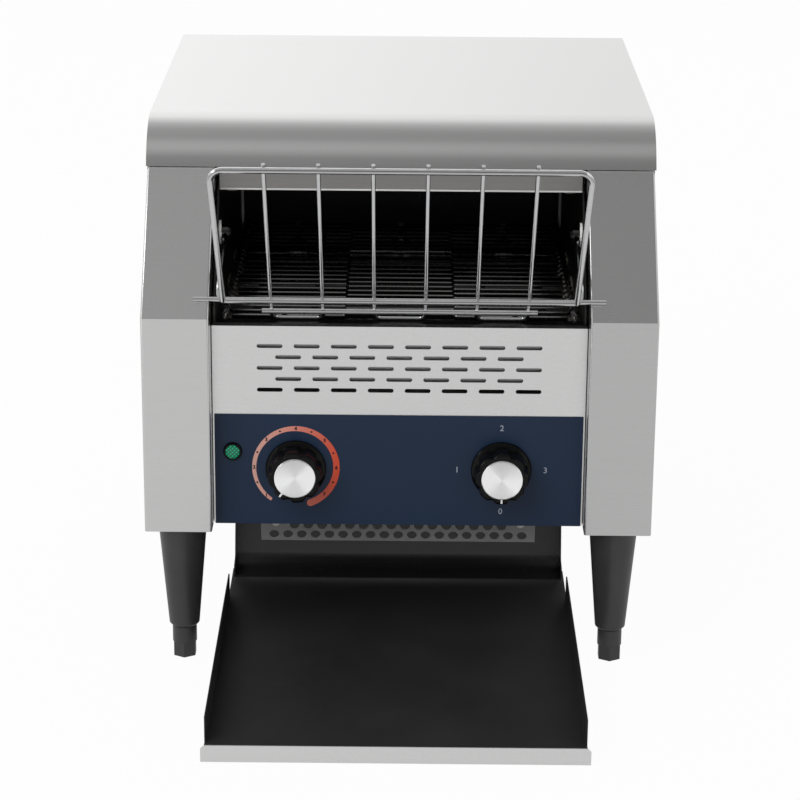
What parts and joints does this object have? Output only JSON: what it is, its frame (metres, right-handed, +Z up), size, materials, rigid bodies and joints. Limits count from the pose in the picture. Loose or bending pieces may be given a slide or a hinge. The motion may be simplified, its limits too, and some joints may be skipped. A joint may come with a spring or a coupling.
{
  "type": "conveyor toaster",
  "caption": "Bench-top conveyor toaster with a wire belt between heating tubes, a tilting wire intake rack, two control knobs and a pull-out toast tray.",
  "frame": {"origin": "on the bench under the middle of the whole machine, tray and gland included", "axes": "+X to the operator's right, +Y to the back, +Z up"},
  "size_m": [0.368, 0.592, 0.387],
  "materials": {
    "stainless": "fine horizontal brushing",
    "inner_steel": "heat-dulled sheet",
    "bright_sheet": "plain sheet",
    "navy_panel": "satin navy film",
    "black_enamel": "black coating",
    "chrome_wire": "polished",
    "belt_wire": "heat-dulled wire",
    "machined_steel": "turned",
    "bronze": "sintered",
    "quartz": "clear tube",
    "end_ceramic": "unglazed",
    "knob_black": "gloss black",
    "spun_cap": "spun",
    "green_lens": "green",
    "black_plastic": "black",
    "terminal_cream": "cream",
    "gear_case": "die-cast",
    "motor_can": "black"
  },
  "bodies": {
    "casing": {"base_pan": "inner_steel", "belt_apron": "black_enamel", "belt_rails": "belt_wire", "cable_gland": "black_plastic", "colour_regulator": "black_plastic", "control_box_cover": "inner_steel", "control_fascia": "navy_panel", "conveyor_belt": "belt_wire", "drive_chain": "machined_steel", "drive_motor": "motor_can", "duct_plate": "bright_sheet", "fan_frame": "black_plastic", "front_panel": "stainless", "gearbox": "gear_case", "guard_screws": "machined_steel", "heating_tubes": "quartz", "lamp_bezel": "knob_black", "lamp_lens": "green_lens", "left_chamber_wall": "inner_steel", "left_side_cover": "stainless", "leg_front_left": "black_plastic", "leg_front_right": "black_plastic", "leg_rear_left": "black_plastic", "leg_rear_right": "black_plastic", "lower_reflector": "inner_steel", "outlet_guard": "bright_sheet", "rack_pins": "chrome_wire", "rear_panel": "stainless", "rear_panel_screws": "machined_steel", "right_chamber_wall": "inner_steel", "right_side_cover": "stainless", "selector_switch": "black_plastic", "shaft_bearings": "bronze", "slide_spacers": "inner_steel", "terminal_block": "terminal_cream", "toast_slide": "black_enamel", "top_cover": "stainless", "tube_end_caps": "end_ceramic", "upper_reflector": "inner_steel"},
    "front_shaft": {"front_shaft": "machined_steel", "front_belt_sprockets": "machined_steel", "shaft_chain_sprocket": "machined_steel"},
    "rear_shaft": {"rear_shaft": "machined_steel", "rear_belt_sprockets": "machined_steel"},
    "motor_shaft": {"motor_output_shaft": "machined_steel", "motor_chain_sprocket": "machined_steel"},
    "fan": {"fan_rotor": "black_plastic"},
    "rack": {"intake_rack": "chrome_wire"},
    "colour_control": {"colour_knob": "knob_black", "colour_knob_cap": "spun_cap", "colour_spindle": "machined_steel"},
    "selector_control": {"selector_knob": "knob_black", "selector_knob_cap": "spun_cap", "selector_spindle": "machined_steel"},
    "tray": {"tray_pan": "black_enamel", "tray_lip": "stainless"},
    "front_left_foot": {"foot_front_left": "black_plastic"},
    "front_right_foot": {"foot_front_right": "black_plastic"},
    "rear_left_foot": {"foot_rear_left": "black_plastic"},
    "rear_right_foot": {"foot_rear_right": "black_plastic"}
  },
  "joints": [
    {"name": "front_shaft_spin", "type": "hinge", "parent": "casing", "child": "front_shaft", "pos_m": [0, -0.081, 0.2296], "axis": [-1, 0, 0], "continuous": true, "deforming": ["conveyor_belt", "drive_chain"]},
    {"name": "rear_shaft_spin", "type": "hinge", "parent": "casing", "child": "rear_shaft", "pos_m": [0, 0.1764, 0.2296], "axis": [-1, 0, 0], "continuous": true},
    {"name": "motor_spin", "type": "hinge", "parent": "casing", "child": "motor_shaft", "pos_m": [0, -0.03776, 0.14473], "axis": [-1, 0, 0], "continuous": true},
    {"name": "fan_spin", "type": "hinge", "parent": "casing", "child": "fan", "pos_m": [-0.12, -0.049, 0.154], "axis": [1, 0, 0], "continuous": true},
    {"name": "rack_tilt", "type": "hinge", "parent": "casing", "child": "rack", "pos_m": [0, -0.051, 0.306], "axis": [1, 0, 0], "range_deg": [-45, 0]},
    {"name": "colour_knob_turn", "type": "hinge", "parent": "casing", "child": "colour_control", "pos_m": [-0.0743, -0.117, 0.147], "axis": [0, 1, 0], "range_deg": [0, 270]},
    {"name": "selector_knob_turn", "type": "hinge", "parent": "casing", "child": "selector_control", "pos_m": [0.0743, -0.117, 0.147], "axis": [0, 1, 0], "range_deg": [0, 270]},
    {"name": "tray_slide", "type": "slide", "parent": "casing", "child": "tray", "axis": [0, 1, 0], "range_m": [-0.05, 0.13]},
    {"name": "front_left_foot_screw", "type": "slide", "parent": "casing", "child": "front_left_foot", "axis": [0, 0, -1], "range_m": [0, 0.012]},
    {"name": "front_right_foot_screw", "type": "slide", "parent": "casing", "child": "front_right_foot", "axis": [0, 0, -1], "range_m": [0, 0.012]},
    {"name": "rear_left_foot_screw", "type": "slide", "parent": "casing", "child": "rear_left_foot", "axis": [0, 0, -1], "range_m": [0, 0.012]},
    {"name": "rear_right_foot_screw", "type": "slide", "parent": "casing", "child": "rear_right_foot", "axis": [0, 0, -1], "range_m": [0, 0.012]}
  ],
  "couplings": [
    {"joint": "rear_shaft_spin", "follows": "front_shaft_spin", "ratio": 1},
    {"joint": "motor_spin", "follows": "front_shaft_spin", "ratio": 1}
  ]
}
